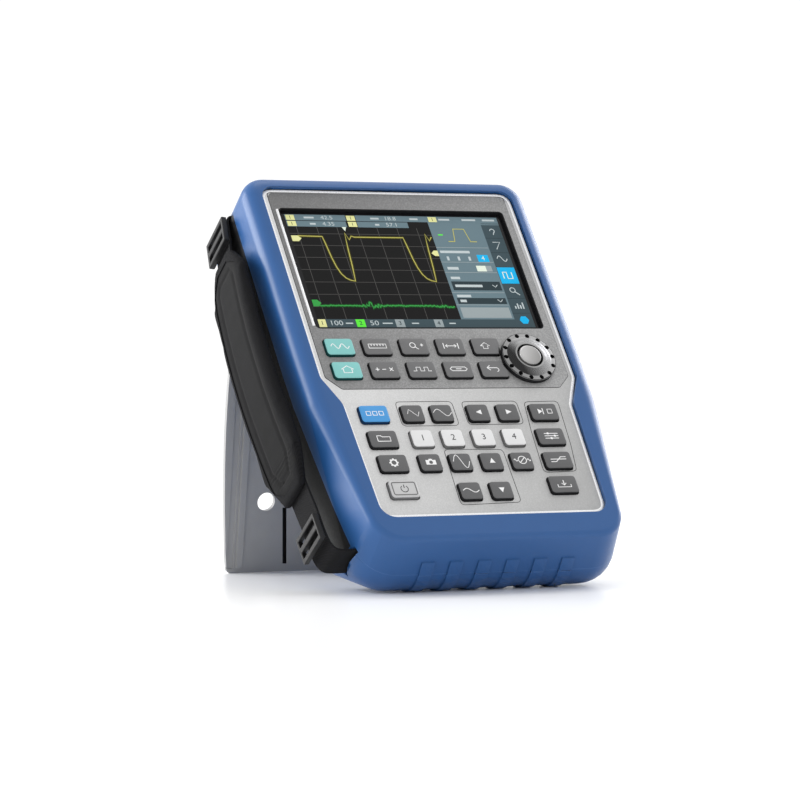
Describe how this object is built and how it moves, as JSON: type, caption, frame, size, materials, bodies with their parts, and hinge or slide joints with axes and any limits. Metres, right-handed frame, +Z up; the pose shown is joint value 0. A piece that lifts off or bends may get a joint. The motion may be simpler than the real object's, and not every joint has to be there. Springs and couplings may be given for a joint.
{
  "type": "portable oscilloscope",
  "caption": "Hand-held battery oscilloscope in a rounded blue case, leaning on a folding rear stand, with touch display, keypad, push wheel, bayonet inputs and padded side strap.",
  "frame": {"origin": "centre of the whole set's footprint box, on the table it stands on", "axes": "+X to the user's right across the display, +Y away from the user, +Z up; the case leans back from upright about X"},
  "size_m": [0.2182, 0.224, 0.2545],
  "materials": {
    "blue_shell": "satin, fine spark texture",
    "panel_silver": "fine satin paint",
    "field_grey": "fine grained paint",
    "touch_glass": "clear gloss",
    "lcd": "lit display",
    "rubber_mat": "matt moulded",
    "board_green": "solder mask",
    "tin_plate": "tinned sheet",
    "battery_black": "moulded",
    "black_plastic": "moulded",
    "nickel": "nickel plated",
    "shroud_grey": "moulded",
    "cover_rubber": "matt moulded",
    "stand_grey": "moulded, fine texture",
    "steel": "bright",
    "encoder_grey": "turned",
    "wheel_grey": "satin",
    "button_silver": "satin",
    "neoprene": "padded knit",
    "webbing": "woven",
    "key_teal": "satin",
    "key_blue": "satin",
    "key_white": "satin",
    "key_silver": "satin",
    "key_grey": "satin"
  },
  "bodies": {
    "case": {"front_shell": "blue_shell", "rear_shell": "blue_shell", "front_panel": "panel_silver", "key_field": "field_grey", "touch_glass": "touch_glass", "lcd_module": "lcd", "keypad_mat": "rubber_mat", "main_board": "board_green", "shield_can": "tin_plate", "battery_pack": "battery_black", "battery_cover": "blue_shell", "fan_frame": "black_plastic", "bnc_inputs": "nickel", "bnc_shrouds": "shroud_grey", "port_block": "black_plastic", "stand_pins": "steel", "encoder": "encoder_grey", "strap_pad": "neoprene", "web_upper": "webbing", "web_lower": "webbing", "buckle_upper": "black_plastic", "buckle_lower": "black_plastic", "case_screws": "steel"},
    "stand": {"stand": "stand_grey"},
    "fan_rotor": {"fan_rotor": "black_plastic"},
    "port_cover": {"port_cover": "cover_rubber"},
    "wheel_knob": {"wheel_knob": "wheel_grey"},
    "wheel_button": {"wheel_button": "button_silver"},
    "key_auto": {"key_auto": "key_teal"},
    "key_meas": {"key_meas": "key_grey"},
    "key_zoom": {"key_zoom": "key_grey"},
    "key_cursor": {"key_cursor": "key_grey"},
    "key_shift": {"key_shift": "key_grey"},
    "key_preset": {"key_preset": "key_teal"},
    "key_math": {"key_math": "key_grey"},
    "key_logic": {"key_logic": "key_grey"},
    "key_bus": {"key_bus": "key_grey"},
    "key_back": {"key_back": "key_grey"},
    "key_mode": {"key_mode": "key_blue"},
    "key_time_less": {"key_time_less": "key_grey"},
    "key_time_more": {"key_time_more": "key_grey"},
    "key_left": {"key_left": "key_grey"},
    "key_right": {"key_right": "key_grey"},
    "key_run": {"key_run": "key_grey"},
    "key_file": {"key_file": "key_grey"},
    "key_one": {"key_one": "key_white"},
    "key_two": {"key_two": "key_white"},
    "key_three": {"key_three": "key_white"},
    "key_four": {"key_four": "key_white"},
    "key_setup": {"key_setup": "key_grey"},
    "key_gear": {"key_gear": "key_grey"},
    "key_camera": {"key_camera": "key_grey"},
    "key_range_more": {"key_range_more": "key_grey"},
    "key_up": {"key_up": "key_grey"},
    "key_signal": {"key_signal": "key_grey"},
    "key_level": {"key_level": "key_grey"},
    "key_power": {"key_power": "key_silver"},
    "key_range_less": {"key_range_less": "key_grey"},
    "key_down": {"key_down": "key_grey"},
    "key_acquire": {"key_acquire": "key_grey"}
  },
  "joints": [
    {"name": "stand_fold", "type": "hinge", "parent": "case", "child": "stand", "pos_m": [0.00865, 0.06764, 0.16065], "axis": [-1, 0, 0], "range_deg": [0, 49.25]},
    {"name": "fan_spin", "type": "hinge", "parent": "case", "child": "fan_rotor", "pos_m": [0.05365, 0.08404, 0.18713], "axis": [0, 0.7955, -0.606], "continuous": true},
    {"name": "port_cover_swing", "type": "hinge", "parent": "case", "child": "port_cover", "pos_m": [0.10705, 0.02293, 0.16203], "axis": [0, -0.606, -0.7955], "range_deg": [0, 95]},
    {"name": "wheel_turn", "type": "hinge", "parent": "case", "child": "wheel_knob", "pos_m": [0.06815, -0.03141, 0.14119], "axis": [0, 0.7955, -0.606], "continuous": true},
    {"name": "wheel_push", "type": "slide", "parent": "case", "child": "wheel_button", "axis": [0, 0.7955, -0.606], "range_m": [0, 0.0008], "stiffness_N_per_m": 900, "springref_m": -0.0006},
    {"name": "key_auto_press", "type": "slide", "parent": "case", "child": "key_auto", "axis": [0, 0.7955, -0.606], "range_m": [0, 0.0011], "stiffness_N_per_m": 500, "springref_m": -0.0006},
    {"name": "key_meas_press", "type": "slide", "parent": "case", "child": "key_meas", "axis": [0, 0.7955, -0.606], "range_m": [0, 0.0011], "stiffness_N_per_m": 500, "springref_m": -0.0006},
    {"name": "key_zoom_press", "type": "slide", "parent": "case", "child": "key_zoom", "axis": [0, 0.7955, -0.606], "range_m": [0, 0.0011], "stiffness_N_per_m": 500, "springref_m": -0.0006},
    {"name": "key_cursor_press", "type": "slide", "parent": "case", "child": "key_cursor", "axis": [0, 0.7955, -0.606], "range_m": [0, 0.0011], "stiffness_N_per_m": 500, "springref_m": -0.0006},
    {"name": "key_shift_press", "type": "slide", "parent": "case", "child": "key_shift", "axis": [0, 0.7955, -0.606], "range_m": [0, 0.0011], "stiffness_N_per_m": 500, "springref_m": -0.0006},
    {"name": "key_preset_press", "type": "slide", "parent": "case", "child": "key_preset", "axis": [0, 0.7955, -0.606], "range_m": [0, 0.0011], "stiffness_N_per_m": 500, "springref_m": -0.0006},
    {"name": "key_math_press", "type": "slide", "parent": "case", "child": "key_math", "axis": [0, 0.7955, -0.606], "range_m": [0, 0.0011], "stiffness_N_per_m": 500, "springref_m": -0.0006},
    {"name": "key_logic_press", "type": "slide", "parent": "case", "child": "key_logic", "axis": [0, 0.7955, -0.606], "range_m": [0, 0.0011], "stiffness_N_per_m": 500, "springref_m": -0.0006},
    {"name": "key_bus_press", "type": "slide", "parent": "case", "child": "key_bus", "axis": [0, 0.7955, -0.606], "range_m": [0, 0.0011], "stiffness_N_per_m": 500, "springref_m": -0.0006},
    {"name": "key_back_press", "type": "slide", "parent": "case", "child": "key_back", "axis": [0, 0.7955, -0.606], "range_m": [0, 0.0011], "stiffness_N_per_m": 500, "springref_m": -0.0006},
    {"name": "key_mode_press", "type": "slide", "parent": "case", "child": "key_mode", "axis": [0, 0.7955, -0.606], "range_m": [0, 0.0011], "stiffness_N_per_m": 500, "springref_m": -0.0006},
    {"name": "key_time_less_press", "type": "slide", "parent": "case", "child": "key_time_less", "axis": [0, 0.7955, -0.606], "range_m": [0, 0.0011], "stiffness_N_per_m": 500, "springref_m": -0.0006},
    {"name": "key_time_more_press", "type": "slide", "parent": "case", "child": "key_time_more", "axis": [0, 0.7955, -0.606], "range_m": [0, 0.0011], "stiffness_N_per_m": 500, "springref_m": -0.0006},
    {"name": "key_left_press", "type": "slide", "parent": "case", "child": "key_left", "axis": [0, 0.7955, -0.606], "range_m": [0, 0.0011], "stiffness_N_per_m": 500, "springref_m": -0.0006},
    {"name": "key_right_press", "type": "slide", "parent": "case", "child": "key_right", "axis": [0, 0.7955, -0.606], "range_m": [0, 0.0011], "stiffness_N_per_m": 500, "springref_m": -0.0006},
    {"name": "key_run_press", "type": "slide", "parent": "case", "child": "key_run", "axis": [0, 0.7955, -0.606], "range_m": [0, 0.0011], "stiffness_N_per_m": 500, "springref_m": -0.0006},
    {"name": "key_file_press", "type": "slide", "parent": "case", "child": "key_file", "axis": [0, 0.7955, -0.606], "range_m": [0, 0.0011], "stiffness_N_per_m": 500, "springref_m": -0.0006},
    {"name": "key_one_press", "type": "slide", "parent": "case", "child": "key_one", "axis": [0, 0.7955, -0.606], "range_m": [0, 0.0011], "stiffness_N_per_m": 500, "springref_m": -0.0006},
    {"name": "key_two_press", "type": "slide", "parent": "case", "child": "key_two", "axis": [0, 0.7955, -0.606], "range_m": [0, 0.0011], "stiffness_N_per_m": 500, "springref_m": -0.0006},
    {"name": "key_three_press", "type": "slide", "parent": "case", "child": "key_three", "axis": [0, 0.7955, -0.606], "range_m": [0, 0.0011], "stiffness_N_per_m": 500, "springref_m": -0.0006},
    {"name": "key_four_press", "type": "slide", "parent": "case", "child": "key_four", "axis": [0, 0.7955, -0.606], "range_m": [0, 0.0011], "stiffness_N_per_m": 500, "springref_m": -0.0006},
    {"name": "key_setup_press", "type": "slide", "parent": "case", "child": "key_setup", "axis": [0, 0.7955, -0.606], "range_m": [0, 0.0011], "stiffness_N_per_m": 500, "springref_m": -0.0006},
    {"name": "key_gear_press", "type": "slide", "parent": "case", "child": "key_gear", "axis": [0, 0.7955, -0.606], "range_m": [0, 0.0011], "stiffness_N_per_m": 500, "springref_m": -0.0006},
    {"name": "key_camera_press", "type": "slide", "parent": "case", "child": "key_camera", "axis": [0, 0.7955, -0.606], "range_m": [0, 0.0011], "stiffness_N_per_m": 500, "springref_m": -0.0006},
    {"name": "key_range_more_press", "type": "slide", "parent": "case", "child": "key_range_more", "axis": [0, 0.7955, -0.606], "range_m": [0, 0.0011], "stiffness_N_per_m": 500, "springref_m": -0.0006},
    {"name": "key_up_press", "type": "slide", "parent": "case", "child": "key_up", "axis": [0, 0.7955, -0.606], "range_m": [0, 0.0011], "stiffness_N_per_m": 500, "springref_m": -0.0006},
    {"name": "key_signal_press", "type": "slide", "parent": "case", "child": "key_signal", "axis": [0, 0.7955, -0.606], "range_m": [0, 0.0011], "stiffness_N_per_m": 500, "springref_m": -0.0006},
    {"name": "key_level_press", "type": "slide", "parent": "case", "child": "key_level", "axis": [0, 0.7955, -0.606], "range_m": [0, 0.0011], "stiffness_N_per_m": 500, "springref_m": -0.0006},
    {"name": "key_power_press", "type": "slide", "parent": "case", "child": "key_power", "axis": [0, 0.7955, -0.606], "range_m": [0, 0.0011], "stiffness_N_per_m": 500, "springref_m": -0.0006},
    {"name": "key_range_less_press", "type": "slide", "parent": "case", "child": "key_range_less", "axis": [0, 0.7955, -0.606], "range_m": [0, 0.0011], "stiffness_N_per_m": 500, "springref_m": -0.0006},
    {"name": "key_down_press", "type": "slide", "parent": "case", "child": "key_down", "axis": [0, 0.7955, -0.606], "range_m": [0, 0.0011], "stiffness_N_per_m": 500, "springref_m": -0.0006},
    {"name": "key_acquire_press", "type": "slide", "parent": "case", "child": "key_acquire", "axis": [0, 0.7955, -0.606], "range_m": [0, 0.0011], "stiffness_N_per_m": 500, "springref_m": -0.0006}
  ]
}
